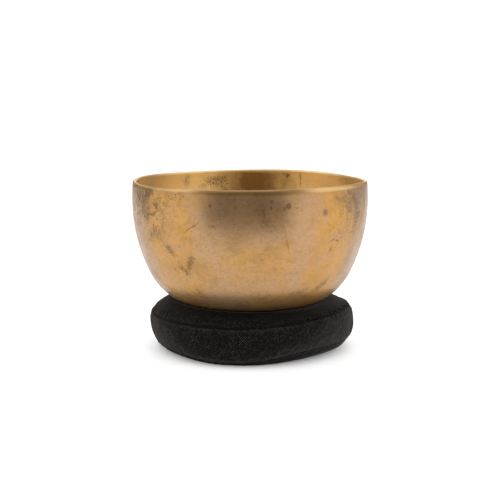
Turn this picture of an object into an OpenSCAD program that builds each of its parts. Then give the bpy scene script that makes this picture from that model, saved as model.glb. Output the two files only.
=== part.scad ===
// Hand-hammered metal singing bowl resting on a round boxed cushion.
// +Z is up and the origin is the centre of the cushion's footprint on the table.
// The bowl is one raised piece of bronze. The cushion is three pieces of cloth, turned in and
// lockstitched along two round seams, with its band joined at the back and its last opening
// closed by hand after stuffing.

/* [Bowl] */
// Outside diameter of the bowl at its widest, just under the lip
bowl_d = 165.2; // [150:0.2:190]
// Height of the bowl from its flat base to its lip
bowl_h = 88.8; // [84:0.2:100]
// Height above the base at which the bowl is widest
belly_h = 75.4; // [70:0.2:80]
// Diameter of the flat base
base_d = 61.2; // [54:0.2:66]
// Radius of the long upright curve of the side
side_r = 113.4; // [105:0.2:130]
// Thickness of the hammered wall
wall_t = 2.2; // [1.8:0.1:3]
// Thickness of the rounded lip
lip_t = 2.6; // [2.2:0.1:3.6]

/* [Cushion] */
// Height of the bowl's base above the table when it sits in the cushion
seat_h = 30; // [27:0.2:32]
// Diameter of the upper seam
top_seam_d = 140; // [136:0.5:150]
// Height of the upper seam
top_seam_h = 26.5; // [24:0.5:28]
// Diameter of the lower seam
bottom_seam_d = 131; // [128:0.5:134]
// Height of the lower seam
bottom_seam_h = 4.5; // [4:0.25:5]
// Diameter of the flat underside that touches the table
foot_d = 118; // [110:1:120]
// How far the band swells out past a straight line between its seams
band_bulge = 4; // [3:0.25:5]
// Radius of the stuffed curve of the top panel, from the upper seam to the bowl
dome_r = 40; // [36:1:50]
// Diameter at which the top panel's curve reaches the bowl
crest_d = 108; // [104:1:112]
// Height of the top panel's curve at that diameter
crest_h = 36.6; // [36:0.1:37.2]

/* [Cloth and thread] */
// Thickness of the twill
cloth_t = 0.8; // [0.6:0.1:1]
// Width of cloth turned in at each seam
seam_allowance = 9; // [7:0.5:10]
// Distance from the outside of a seam in to its stitches
stitch_inset = 3.4; // [3.2:0.1:4]
// Diameter of the sewing thread
thread_d = 0.4; // [0.3:0.05:0.5]
// Number of hand stitches that close the stuffing gap
closing_stitches = 12; // [8:1:16]
// Angle between two hand stitches, in degrees
closing_pitch = 3.4; // [3:0.1:4]

/* [Hidden] */
$fn = 128;

// Clearance between the bowl and the cloth it sits on
seat_gap = 0.3;
// Clearance between two layers of cloth sewn together
layer_gap = 0.1;
// Clearance between the filling and the cloth round it
fill_gap = 0.1;
// Radius of the crease that the stitches pull in at each seam
crease_r = 0.5;
// Extra height or width that carries a cutting shape past what it cuts
past = 5;

// Bowl: the side arc runs tangent into the shoulder arc, which runs tangent into the flat base
belly_r = bowl_d / 2;
base_r = base_d / 2;
side_drop = side_r - belly_h;
side_reach = base_r - belly_r + side_r;
arc_step = (side_drop * side_drop + side_reach * side_reach) / (2 * side_drop);
shoulder_r = side_r - arc_step;
shoulder_angle = asin((belly_h - shoulder_r) / arc_step);
lip_centre_h = bowl_h - lip_t / 2;
lip_mid_r = side_r - wall_t / 2;
lip_centre_r = belly_r - side_r + sqrt(pow(lip_mid_r, 2) - pow(lip_centre_h - belly_h, 2));

// Cushion: seams, and the arcs between them
top_seam_r = top_seam_d / 2;
bottom_seam_r = bottom_seam_d / 2;
foot_r = foot_d / 2;
top_seam = [top_seam_r, top_seam_h];
bottom_seam = [bottom_seam_r, bottom_seam_h];
crest = [crest_d / 2, crest_h];
dome_centre = arc_centre(crest, top_seam, dome_r);
band_half = norm(top_seam - bottom_seam) / 2;
band_r = (band_half * band_half + band_bulge * band_bulge) / (2 * band_bulge);
band_centre = arc_centre(top_seam, bottom_seam, band_r);
under_r = (pow(bottom_seam_r - foot_r, 2) + pow(bottom_seam_h, 2)) / (2 * bottom_seam_h);
under_centre = [foot_r, under_r];

// Stitches
band_join_angle = 90;
join_steps = 8;
closing_start = 112;
closing_span = closing_stitches * closing_pitch;
closing_stitch_l = 2.2;
closing_slant = 25;

// Centre of the arc of radius r that turns clockwise from a to b, seen with r across and z up
function arc_centre(a, b, r) =
    let (chord = b - a, half = norm(chord) / 2, side = [chord[1], -chord[0]] / (2 * half))
    (a + b) / 2 + side * sqrt(r * r - half * half);

// ---- Bowl ----

// Everything inside the bowl's outer skin, with that skin moved out by grow
module bowl_outline(grow = 0) {
    shoulder_top = shoulder_r - (shoulder_r + grow) * sin(shoulder_angle);
    translate([0, -grow])
        square([base_r, shoulder_top + grow]);
    intersection() {
        translate([base_r, shoulder_r])
            circle(shoulder_r + grow);
        translate([0, -grow])
            square([belly_r + past, shoulder_top + grow]);
    }
    intersection() {
        translate([belly_r - side_r, belly_h])
            circle(side_r + grow);
        translate([0, shoulder_top])
            square([belly_r + past, lip_centre_h - shoulder_top]);
    }
}

module bowl() {
    color("darkgoldenrod")
        translate([0, 0, seat_h])
            rotate_extrude() {
                difference() {
                    bowl_outline();
                    bowl_outline(-wall_t);
                }
                translate([lip_centre_r, lip_centre_h])
                    circle(lip_t / 2);
            }
}

// ---- Cushion ----

// One arc of the cushion's outline between two heights, filled in to the axis
module pad_slice(centre, r, low, high) {
    intersection() {
        translate(centre)
            circle(r);
        translate([0, low])
            square([top_seam_r + past * 2, high - low]);
    }
    translate([0, low])
        square([centre[0], high - low]);
}

// The stuffed cushion with the bowl's shape pressed into it, drawn in by inset
module pad_outline(inset = 0) {
    difference() {
        union() {
            pad_slice(dome_centre, dome_r - inset, top_seam_h, dome_centre[1] + dome_r - inset);
            pad_slice(band_centre, band_r - inset, bottom_seam_h, top_seam_h);
            pad_slice(under_centre, under_r - inset, inset, bottom_seam_h);
        }
        translate([0, seat_h])
            bowl_outline(seat_gap + inset);
    }
}

// The cloth between two heights, as a thin skin of the stuffed outline
module cloth_skin(low, high) {
    intersection() {
        difference() {
            pad_outline();
            pad_outline(cloth_t);
        }
        translate([0, low])
            square([top_seam_r + past * 2, high - low]);
    }
}

// Cloth turned in level with a seam, from low to low + cloth_t
module turned_in(seam_r, low) {
    translate([seam_r - seam_allowance, low])
        square([seam_allowance - crease_r, cloth_t]);
}

// The groove that the stitches pull in along a seam
module crease(seam) {
    translate(seam)
        circle(crease_r);
}

module top_panel() {
    color([0.09, 0.085, 0.085])
        rotate_extrude()
            difference() {
                union() {
                    cloth_skin(top_seam_h + layer_gap / 2, crest_h + past);
                    turned_in(top_seam_r, top_seam_h + layer_gap / 2);
                }
                crease(top_seam);
            }
}

// Points along the band's curve, drawn in by inset, between two heights
function band_curve(inset, low, high) =
    [for (i = [0 : join_steps])
        let (h = low + (high - low) * i / join_steps)
        [band_centre[0] + sqrt(pow(band_r - inset, 2) - pow(h - band_centre[1], 2)), h]];

// Upright plate at the band's join, from just under its skin to the depth of the seam allowance
module join_plate(outer_inset, depth, width, low, high) {
    outer = band_curve(outer_inset, low, high);
    rotate([0, 0, band_join_angle])
        rotate([90, 0, 0])
            linear_extrude(width, center = true)
                polygon(concat(outer, [[bottom_seam_r - depth, high], [bottom_seam_r - depth, low]]));
}

// The band is one strip: its two ends turn in side by side at the join
module side_band() {
    low = bottom_seam_h + layer_gap / 2;
    high = top_seam_h - layer_gap / 2;
    color([0.11, 0.105, 0.1])
        difference() {
            union() {
                rotate_extrude()
                    difference() {
                        union() {
                            cloth_skin(low, high);
                            turned_in(top_seam_r, high - cloth_t);
                            turned_in(bottom_seam_r, low);
                        }
                        crease(top_seam);
                        crease(bottom_seam);
                    }
                join_plate(cloth_t / 2, seam_allowance, 2 * cloth_t + layer_gap, low + cloth_t / 2,
                    high - cloth_t / 2);
            }
            rotate([0, 0, band_join_angle])
                translate([foot_r - past * 4, -layer_gap / 2, 0])
                    cube([top_seam_r, layer_gap, crest_h]);
        }
}

module bottom_panel() {
    color([0.09, 0.085, 0.085])
        rotate_extrude()
            difference() {
                union() {
                    cloth_skin(0, bottom_seam_h - layer_gap / 2);
                    turned_in(bottom_seam_r, bottom_seam_h - layer_gap / 2 - cloth_t);
                }
                crease(bottom_seam);
            }
}

// Room that the filling leaves round a seam's turned-in cloth and its thread
module seam_room(seam) {
    room = 2 * (cloth_t + thread_d + fill_gap) + layer_gap;
    translate([seam[0] - seam_allowance - fill_gap, seam[1] - room / 2])
        square([seam_allowance + past, room]);
}

module filling() {
    room = 2 * (cloth_t + thread_d + fill_gap) + layer_gap;
    color("ivory")
        difference() {
            rotate_extrude()
                difference() {
                    pad_outline(cloth_t + fill_gap);
                    seam_room(top_seam);
                    seam_room(bottom_seam);
                }
            join_plate(0, seam_allowance + fill_gap, room, bottom_seam_h, top_seam_h);
        }
}

// ---- Thread ----

// One run of thread lying on turned-in cloth, at height h, from angle start through sweep
module seam_thread(seam_r, h, start = 0, sweep = 360) {
    color("black")
        rotate([0, 0, start])
            rotate_extrude(angle = sweep)
                translate([seam_r - stitch_inset, h])
                    circle(d = thread_d);
}

module top_seam_needle_thread() {
    seam_thread(top_seam_r, top_seam_h + layer_gap / 2 + cloth_t + thread_d / 2);
}

module top_seam_bobbin_thread() {
    seam_thread(top_seam_r, top_seam_h - layer_gap / 2 - cloth_t - thread_d / 2);
}

// The lower seam is machine sewn except where the cushion was stuffed
module bottom_seam_needle_thread() {
    seam_thread(bottom_seam_r, bottom_seam_h - layer_gap / 2 - cloth_t - thread_d / 2,
        closing_start + closing_span, 360 - closing_span);
}

module bottom_seam_bobbin_thread() {
    seam_thread(bottom_seam_r, bottom_seam_h + layer_gap / 2 + cloth_t + thread_d / 2,
        closing_start + closing_span, 360 - closing_span);
}

// Upright run of thread on one of the band's turned-in ends
module band_join_thread(side) {
    low = bottom_seam_h + layer_gap / 2 + cloth_t + thread_d;
    high = top_seam_h - layer_gap / 2 - cloth_t - thread_d;
    color("black")
        rotate([0, 0, band_join_angle])
            translate([bottom_seam_r - stitch_inset, side * (layer_gap / 2 + cloth_t + thread_d / 2), low])
                cylinder(d = thread_d, h = high - low);
}

module band_join_needle_thread() {
    band_join_thread(1);
}

module band_join_bobbin_thread() {
    band_join_thread(-1);
}

// Slanting hand stitches across the lower crease, over the gap that the filling went in by
module closing_thread() {
    color("black")
        for (i = [0 : closing_stitches - 1])
            rotate([0, 0, closing_start + (i + 0.5) * closing_pitch])
                translate([bottom_seam_r, 0, bottom_seam_h])
                    rotate([closing_slant, 0, 0])
                        cylinder(d = thread_d, h = closing_stitch_l, center = true);
}

bowl();
top_panel();
side_band();
bottom_panel();
filling();
top_seam_needle_thread();
top_seam_bobbin_thread();
bottom_seam_needle_thread();
bottom_seam_bobbin_thread();
band_join_needle_thread();
band_join_bobbin_thread();
closing_thread();
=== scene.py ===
"""A hand-hammered singing bowl on its round boxed cushion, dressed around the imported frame."""
import math

import bpy
import numpy as np
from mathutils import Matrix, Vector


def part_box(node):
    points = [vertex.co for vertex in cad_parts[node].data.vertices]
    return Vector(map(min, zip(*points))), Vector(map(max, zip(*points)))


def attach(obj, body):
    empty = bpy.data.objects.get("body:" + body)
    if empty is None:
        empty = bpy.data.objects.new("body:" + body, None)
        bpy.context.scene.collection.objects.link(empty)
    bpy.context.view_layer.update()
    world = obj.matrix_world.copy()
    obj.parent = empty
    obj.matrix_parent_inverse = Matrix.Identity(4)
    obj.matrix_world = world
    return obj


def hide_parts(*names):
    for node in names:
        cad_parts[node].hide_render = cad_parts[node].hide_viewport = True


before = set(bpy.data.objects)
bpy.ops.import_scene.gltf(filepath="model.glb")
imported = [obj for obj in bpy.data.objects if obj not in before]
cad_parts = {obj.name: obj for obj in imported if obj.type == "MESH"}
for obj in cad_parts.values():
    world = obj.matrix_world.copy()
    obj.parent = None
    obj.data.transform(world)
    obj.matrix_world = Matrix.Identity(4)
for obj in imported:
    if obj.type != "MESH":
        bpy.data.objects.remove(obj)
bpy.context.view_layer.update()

MM = 0.001

# ---- Sizes, in metres, from the frame and the design ----

bowl_low, bowl_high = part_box("bowl")
SEAT_H = bowl_low.z
BOWL_H = bowl_high.z - bowl_low.z
BELLY_R = (bowl_high.x - bowl_low.x) / 2
BELLY_H = 75.4 * MM
SIDE_R = 113.4 * MM
BASE_R = 30.6 * MM
WALL_T = 2.2 * MM
LIP_T = 2.6 * MM
LIP_RUN = 7 * MM

# The shoulder is the arc that joins the flat base to the side's own arc
SIDE_DROP = SIDE_R - BELLY_H
SIDE_REACH = BASE_R - BELLY_R + SIDE_R
SHOULDER_TO_SIDE = (SIDE_DROP**2 + SIDE_REACH**2) / (2 * SIDE_DROP)
SHOULDER_R = SIDE_R - SHOULDER_TO_SIDE


# ---- Camera, first of all ----

CAMERA_DISTANCE = 0.8252
CAMERA_HEIGHT = 0.1953
AIM_HEIGHT = 0.0687
SENSOR_MM = 36
LENS_MM = 85.1


def aim(thing, target):
    """Turns a camera to face a point."""
    gaze = np.array(target) - np.array(thing.location)
    level = math.hypot(gaze[0], gaze[1])
    thing.rotation_euler = (
        math.atan2(level, -gaze[2]),
        0,
        math.atan2(gaze[1], gaze[0]) - math.pi / 2,
    )


def make_camera():
    data = bpy.data.cameras.new("camera")
    data.lens = LENS_MM
    data.sensor_width = SENSOR_MM
    camera = bpy.data.objects.new("camera", data)
    bpy.context.scene.collection.objects.link(camera)
    camera.location = (0, -CAMERA_DISTANCE, CAMERA_HEIGHT)
    aim(camera, (0, 0, AIM_HEIGHT))
    bpy.context.scene.camera = camera


# ---- Short calls for building a material's nodes ----


class Value:
    """A node's output. Arithmetic with it makes a math node, or a vector math node when it is a
    position or a colour."""

    def __init__(self, graph, socket):
        self.graph = graph
        self.socket = socket

    def combined(self, operation, *values):
        kind = "ShaderNodeMath" if self.socket.type == "VALUE" else "ShaderNodeVectorMath"
        return self.graph.operate(kind, operation, values)

    def __add__(self, other):
        return self.combined("ADD", self, other)

    def __sub__(self, other):
        return self.combined("SUBTRACT", self, other)

    def __rsub__(self, other):
        return self.combined("SUBTRACT", other, self)

    def __mul__(self, other):
        return self.combined("MULTIPLY", self, other)

    def __truediv__(self, other):
        return self.combined("DIVIDE", self, other)

    def __abs__(self):
        return self.combined("ABSOLUTE", self)


class Graph:
    """One material and the nodes behind it, which are handed back as a Value each."""

    def __init__(self, name):
        self.material = bpy.data.materials.new(name)
        self.material.use_nodes = True
        self.tree = self.material.node_tree
        self.tree.nodes.clear()
        self.shader = self.node("ShaderNodeBsdfPrincipled")
        output = self.node("ShaderNodeOutputMaterial")
        self.tree.links.new(self.shader.outputs["BSDF"], output.inputs["Surface"])
        self.colour = None

    def node(self, kind, **inputs):
        made = self.tree.nodes.new(kind)
        for key, value in inputs.items():
            self.put(made.inputs[key], value)
        return made

    def put(self, socket, value):
        """Links a socket to another's output, or sets its own value."""
        if isinstance(value, Value):
            self.tree.links.new(value.socket, socket)
        else:
            socket.default_value = value

    def put_each(self, node, values):
        for socket, value in zip(node.inputs, values):
            self.put(socket, value)

    def out(self, node, output=0):
        return Value(self, node.outputs[output])

    def set(self, **values):
        for key, value in values.items():
            self.put(self.shader.inputs[key.replace("_", " ")], value)

    def place(self):
        """Position on the piece, in its own frame, in metres."""
        return self.out(self.node("ShaderNodeTexCoord"), "Object")

    def place_mm(self):
        return self.place() * (1 / MM, 1 / MM, 1 / MM)

    def attribute(self, name, output="Vector"):
        made = self.node("ShaderNodeAttribute")
        made.attribute_name = name
        return self.out(made, output)

    def operate(self, kind, operation, values, output=0):
        made = self.node(kind)
        made.operation = operation
        self.put_each(made, values)
        return self.out(made, output)

    def math(self, operation, *values):
        return self.operate("ShaderNodeMath", operation, values)

    def length(self, vector):
        return self.operate("ShaderNodeVectorMath", "LENGTH", (vector,), "Value")

    def split(self, vector):
        made = self.node("ShaderNodeSeparateXYZ", Vector=vector)
        return [self.out(made, axis) for axis in "XYZ"]

    def join(self, x, y, z=0.0):
        return self.out(self.node("ShaderNodeCombineXYZ", X=x, Y=y, Z=z))

    def within(self, vector, centre, size, turn=0.0):
        """Position relative to a turned ellipse: its length is 1 on the ellipse."""
        made = self.node("ShaderNodeMapping", Vector=vector, Location=centre, Scale=size)
        made.vector_type = "TEXTURE"
        made.inputs["Rotation"].default_value = (0, 0, turn)
        return self.out(made)

    def stretch(self, vector, scale, turn=0.0):
        """Position turned and then scaled, for streaked noise."""
        made = self.node("ShaderNodeMapping", Vector=vector, Scale=scale)
        made.inputs["Rotation"].default_value = (0, 0, turn)
        return self.out(made)

    def noise(self, vector, scale, detail, roughness=0.5, distortion=0.0, output="Fac"):
        made = self.node("ShaderNodeTexNoise", Vector=vector, Scale=scale)
        self.put(made.inputs["Detail"], detail)
        self.put(made.inputs["Roughness"], roughness)
        self.put(made.inputs["Distortion"], distortion)
        return self.out(made, output)

    def between(self, value, low, high, to_low=0.0, to_high=1.0, smooth=True):
        """Value carried from low..high to to_low..to_high, and held at the ends."""
        made = self.node("ShaderNodeMapRange")
        made.interpolation_type = "SMOOTHSTEP" if smooth else "LINEAR"
        self.put_each(made, (value, low, high, to_low, to_high))
        return self.out(made)

    def mix(self, a, b, share):
        made = self.node("ShaderNodeMix")
        made.data_type = "RGBA"
        self.put(made.inputs["Factor"], share)
        first, second = [s for s in made.inputs if s.type == "RGBA"]
        self.put(first, a)
        self.put(second, b)
        return Value(self, [s for s in made.outputs if s.type == "RGBA"][0])

    def paint(self, colour, share):
        """Lays a colour over the material's colour so far, as thickly as share says."""
        self.colour = self.mix(self.colour, colour, share)

    def bump(self, height, distance, strength):
        made = self.node("ShaderNodeBump", Height=height, Distance=distance, Strength=strength)
        return self.out(made)

    def most(self, values):
        """The largest of several values."""
        result = values[0]
        for value in values[1:]:
            result = self.math("MAXIMUM", result, value)
        return result


# ---- Aged bronze ----

GOLD = (0.53, 0.275, 0.066, 1)
ORANGE_GOLD = (0.64, 0.33, 0.08, 1)
ROSY_TAN = (0.475, 0.285, 0.15, 1)
OLIVE_TAN = (0.33, 0.21, 0.095, 1)
INNER_GOLD = (1.0, 0.82, 0.48, 1)
LINING_AMBER = (0.92, 0.62, 0.26, 1)
# Painted dark reflection for the middle of the lining's back
LINING_PAINTED_DARK_REFLECTION = (0.2, 0.11, 0.038, 1)
BROWN_STAIN = (0.16, 0.095, 0.04, 1)
PIT_BROWN = (0.035, 0.018, 0.008, 1)
LIP_BROWN = (0.27, 0.14, 0.042, 1)
LIP_PAINTED_HIGHLIGHT = (0.92, 0.62, 0.3, 1)
WEATHERED = (0.13, 0.08, 0.036, 1)
MAUVE_GREY = (0.27, 0.19, 0.14, 1)
MAUVE_DARK = (0.17, 0.11, 0.075, 1)

# Marks on the wall, in millimetres: place along it from the front (right is positive) and height
# above the base, half length, half width, turn in degrees, and how dark
FEATHERED_STAINS = (
    (-60, 48, 5, 2.6, -50, 0.75),
    (-44, 40, 7, 2.4, -115, 0.8),
    (-50, 34.5, 6, 2.6, -30, 0.75),
    (-66, 54, 2, 5, 0, 0.4),
    (20, 67, 1.6, 5, 0, 0.35),
    (-77, 17, 9, 2.5, -30, 0.6),
    (-42, 19, 8, 1.8, -35, 0.5),
    (62, 23, 8, 3, 30, 0.6),
    (42, 20, 8, 2, 10, 0.45),
    (86, 71, 5, 10, 0, 0.6),
    (74, 81, 12, 4, 0, 0.5),
    (-83, 74, 6, 12, 8, 0.62),
    (-78, 57, 3.5, 7, 10, 0.55),
    (84, 40, 3.5, 6, -10, 0.35),
    (-30, 64, 6, 2, 15, 0.3),
    (10, 30, 12, 1.5, 4, 0.3),
    (-16, 21, 9, 1.6, -8, 0.35),
    (14, 17, 12, 2, 5, 0.4),
)
DARK_SPOTS = (
    (-26, 79, 0.9, 1.0, 0, 0.9),
    (-24, 66, 1.3, 0.7, 0, 0.6),
    (25, 79, 1.7, 2.0, 0, 0.95),
    (22.5, 77.5, 0.8, 1.2, 0, 0.7),
    (14, 82, 0.9, 1.4, 0, 0.6),
    (13.5, 78, 0.8, 1.5, 10, 0.6),
    (31, 77.6, 0.6, 0.6, 0, 0.7),
    (61, 54.6, 2.2, 0.5, 25, 0.9),
    (65.5, 53.8, 1.8, 0.5, -25, 0.9),
    (69, 55, 1.4, 0.45, 30, 0.8),
    (60.5, 48, 0.6, 1.6, -15, 0.9),
    (56, 65, 2.5, 0.45, -20, 0.5),
    (60, 62.5, 2.0, 0.45, 35, 0.5),
    (-2, 14, 0.9, 0.7, 0, 0.8),
    (8, 44, 0.8, 0.6, 0, 0.6),
)
SCRATCHES = (
    (-40, 64, 8, 0.4, 33, 0.9),
    (-20, 72, 0.35, 6, 12, 0.3),
    (23.5, 60, 0.5, 9, 12, 0.35),
    (25.5, 53, 0.6, 3.6, 15, 0.65),
    (-72, 20, 9, 0.4, -38, 0.7),
    (-47, 18, 8, 0.4, -32, 0.6),
    (64, 24, 7, 0.4, 52, 0.6),
    (82, 58, 6, 0.35, 5, 0.5),
    (-64, 50, 3, 0.4, -55, 0.6),
    (218, 82, 0.35, 6, 0, 0.8),
)
MAUVE_PLACE = (52.5, 73.5, 0)
MAUVE_SIZE = (1.9, 2.0, 1)
PIT_FIELDS = (
    (-51, 84, 10, 3, 0, 0.9),
    (-64, 78, 12, 6, -15, 0.75),
    (-74, 64, 7, 14, 10, 0.7),
    (77, 79, 15, 9, 0, 0.8),
    (24, 83, 16, 4, 0, 0.6),
    (62, 60, 9, 6, 0, 0.5),
    (-58, 40, 10, 7, -40, 0.6),
    (0, 22, 50, 6, 0, 0.35),
    (-232, 80, 13, 6, 0, 1.0),
    (-206, 83, 5, 6, 0, 0.8),
    (229, 84, 2.5, 2, 0, 1.2),
)
LINING_STAINS = (
    (-230, 81, 9, 3.5, 0, 0.5),
    (-221, 77, 4, 3, 0, 0.4),
    (-207, 82, 3, 6, 10, 0.45),
    (229, 84.5, 1.6, 1.4, 0, 0.9),
    (204, 80, 16, 3, 5, 0.25),
)

# How far aside the inner face's noise is read, in millimetres, so that the faces' wear differs
INNER_ASIDE = 500


def marks(g, place, rows, edge):
    """The strongest of several turned ellipses with ragged edges, each with its own darkness."""
    found = []
    for along, up, length, width, turn, dark in rows:
        spot = g.within(place, (along, up, 0), (length, width, 1), math.radians(turn))
        found.append(g.between(g.length(spot), 1 + edge, 1 - edge, 0, dark))
    return g.most(found)


def aged_bronze():
    """Satin bronze with warm and olive patches, stains, pits and hairline scratches. Places on it
    are in millimetres: along the wall from the front, and up from the base."""
    g = Graph("aged_bronze")
    inner = g.attribute("inner_face", "Fac")
    outside = 1.0 - inner
    spot = g.place_mm()
    x, y, z = g.split(spot)
    along = g.math("ARCTAN2", x, y * -1) * (BELLY_R / MM)
    up = z - SEAT_H / MM
    from_front = abs(along)
    from_axis = g.length(g.join(x, y))

    # Broad drifts of colour, golden and rosy at random, rosier between and below; the extra golden
    # at either side of the front is a painted reflection of the bright studio there
    drift = g.noise(spot, 0.022, 3, 0.55, 0.4)
    fine_drift = g.noise(spot, 0.08, 5, 0.66, 0.3)
    mottle = g.noise(spot, 0.4, 5, 0.7)
    sides = g.between(from_front, 26, 58) * g.between(from_front, 96, 74)
    golden = sides * 0.5 + g.between(drift, 0.36, 0.7, 0, 0.6)
    golden = golden + g.between(fine_drift, 0.35, 0.65, -0.25, 0.25)
    g.colour = g.mix(ROSY_TAN, GOLD, g.between(golden, 0.1, 0.95, smooth=False))
    warm = g.noise(spot + (90, 0, 0), 0.045, 4, 0.6) + g.between(along, -10, 50, 0, 0.07)
    warm = g.between(warm, 0.44, 0.68) * g.between(golden, 0.3, 0.8)
    g.paint(ORANGE_GOLD, warm * 0.6)
    g.paint(OLIVE_TAN, g.between(fine_drift, 0.48, 0.72, 0, 0.6))
    g.paint(OLIVE_TAN, g.between(mottle, 0.46, 0.68) * g.between(along, 20, 60, 0.72, 0.42))
    edge_grey = g.between(from_front, 70, 92) * g.between(from_front, 140, 105)
    g.paint(MAUVE_GREY, edge_grey * 0.35)

    # The upper wall either side of the front is weathered in crumbling patches
    worn = g.between(g.noise(spot + (0, 0, 300), 0.17, 5, 0.72, 0.5), 0.45, 0.6)
    beside = g.between(from_front, 50, 76) * g.between(from_front, 140, 90)
    beside = beside * g.between(up, 40, 72) * g.between(along, -40, 40, 0.95, 0.5)
    g.paint(WEATHERED, worn * beside)

    # The lining is brighter where it is polished; high up in the middle of the back it carries a
    # painted dark reflection of the unlit studio
    shade = g.between(abs(x - 5) + (fine_drift - 0.5) * 40, 46, 4)
    shade = shade * g.between(y, 0, 20) * g.between(up, 22, 66)
    lining = g.mix(INNER_GOLD, LINING_AMBER, g.between(fine_drift, 0.42, 0.68, 0, 0.5))
    lining = g.mix(lining, LINING_AMBER, g.between(x, 12, 46, 0, 0.35))
    lining = g.mix(lining, LINING_PAINTED_DARK_REFLECTION, shade * 0.97)
    g.paint(lining, inner)

    # Ragged places for marks, from the wall's place pushed about by noise
    flat = g.join(along, up)
    pushed = g.noise(spot, 0.6, 6, 0.75, output="Color") - (0.5, 0.5, 0.5)
    ragged = flat + pushed * (13, 13, 0)
    slight = flat + pushed * (3.2, 3.2, 0)

    stains = marks(g, ragged, FEATHERED_STAINS, 0.6) * outside
    stains = g.most([stains, marks(g, ragged, LINING_STAINS, 0.5) * inner])
    crumb = g.noise(spot, 0.8, 6, 0.75)
    eaten = g.between(stains + (crumb - 0.5) * 2.6, 0.3, 0.85) * g.between(stains, 0.02, 0.4)
    stains = eaten * 0.5 + stains * 0.3
    g.paint(BROWN_STAIN, stains)

    broken = g.between(g.noise(spot, 0.7, 3, 0.6), 0.36, 0.5)
    scratches = marks(g, slight, SCRATCHES, 0.5) * broken
    g.paint(BROWN_STAIN, scratches * 0.85)
    speckle = g.between(crumb, 0.4, 0.6)
    spots = marks(g, slight, DARK_SPOTS, 0.5) * outside * g.between(speckle, 0, 0.6, 0.5, 1)
    g.paint(PIT_BROWN, spots * 0.75)
    mauve = g.length(g.within(slight, MAUVE_PLACE, MAUVE_SIZE))
    g.paint(MAUVE_DARK, g.between(mauve, 1.7, 0.4, 0, 0.75) * outside)

    # Pits and finer dust: a little in every patch of wall, much in the fields
    thick = g.between(g.noise(spot + (0, 400, 0), 0.05, 3, 0.6), 0.5, 0.7, 0, 0.5)
    density = g.most([marks(g, ragged, PIT_FIELDS, 0.6), thick])
    pits = g.noise(spot, 0.95, 4, 0.62) - (0.725 - density * 0.17)
    pits = g.between(pits, 0, 0.035)
    dust = g.noise(spot + (0, 0, 700), 2.1, 3, 0.6) - (0.68 - density * 0.1)
    g.paint(PIT_BROWN, pits * 0.72)
    g.paint(BROWN_STAIN, g.between(dust, 0, 0.04) * 0.5)

    # Spun and rubbed wear: fine level lines, and hairlines across them
    skin = g.join(along, up + from_axis, inner * INNER_ASIDE)
    spun = g.noise(g.stretch(skin, (0.045, 1.5, 1), 0.03), 1, 5, 0.7)
    hair_a = g.noise(g.stretch(skin, (0.02, 2.4, 1), 0.5), 1, 3, 0.6)
    hair_b = g.noise(g.stretch(skin, (2.1, 0.025, 1), 0.2), 1, 3, 0.6)
    hairs = (hair_a + hair_b - 1.0) * g.between(from_axis, 14, 44, 0, 0.5) + 0.5
    grain = g.noise(spot, 2.2, 4, 0.6)
    tarnish = inner * -0.7 + 1.0
    g.paint(BROWN_STAIN, g.between(hairs, 0.58, 0.7, 0, 0.2))
    g.paint(OLIVE_TAN, g.between(spun, 0.5, 0.72, 0, 0.4) * tarnish)
    g.paint(BROWN_STAIN, g.between(grain, 0.5, 0.72, 0, 0.32) * tarnish)

    # The lip is brown in the middle of the front, and either side of that it carries a painted
    # highlight where it catches the light
    brown = g.between(from_front, 50, 26, 0.08, 0.8) * g.between(inner, 0.7, 0.2, 0.15, 1)
    g.paint(LIP_BROWN, g.between(up, 85, 87) * brown)
    g.paint(LIP_PAINTED_HIGHLIGHT, g.between(up, 86, 88) * g.between(from_front, 28, 52, 0, 0.6))

    rough = g.between(fine_drift, 0.3, 0.75, 0.3, 0.42) + g.between(stains, 0.1, 0.8, 0, 0.15)
    rough = rough + g.between(spun, 0.35, 0.7, -0.04, 0.06) + g.between(up, 24, 8, 0, 0.14)
    rough = rough + pits * 0.3
    height = spun * 0.35 + (hairs * 0.25 + grain * 0.22) - pits * 0.9 - scratches * 0.4
    normal = g.bump(height, 0.12 * MM, 0.5)
    g.set(Base_Color=g.colour, Metallic=0.86, Roughness=rough, Normal=normal)
    return g.material


# ---- Shared shapes ----


def waves(points, length, seed, count=24):
    """A smooth random field of about -1 to 1 whose hills are about length apart."""
    draw = np.random.default_rng(seed)
    aims = draw.normal(size=(count, points.shape[1]))
    aims /= np.linalg.norm(aims, axis=1)[:, None]
    sizes = 2 * math.pi / length * draw.uniform(0.6, 1.3, count)
    phases = draw.uniform(0, 2 * math.pi, count)
    field = np.sin(points @ (aims * sizes[:, None]).T + phases)
    return field.sum(1) / math.sqrt(count / 2) / 1.6


def hill(distance, width):
    """1 where the distance is 0, falling away smoothly beyond about a width."""
    return np.exp(-((distance / width) ** 2))


def outward(points):
    """Level directions away from the axis."""
    level = points * [1, 1, 0]
    return level / np.maximum(np.linalg.norm(level, axis=-1), 1e-9)[..., None]


def around(sections, turn):
    """Points in space from sections of radius and height, one for every angle."""
    return np.stack([
        sections[..., 0] * np.cos(turn),
        sections[..., 0] * np.sin(turn),
        sections[..., 1],
    ], -1)


def grid_faces(rows, columns, closed):
    """Faces of a grid of rows; a closed grid's last column joins its first."""
    faces = []
    for low in range(0, (rows - 1) * columns, columns):
        for i in range(columns if closed else columns - 1):
            j = (i + 1) % columns
            faces.append((low + i, low + j, low + columns + j, low + columns + i))
    return faces


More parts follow.
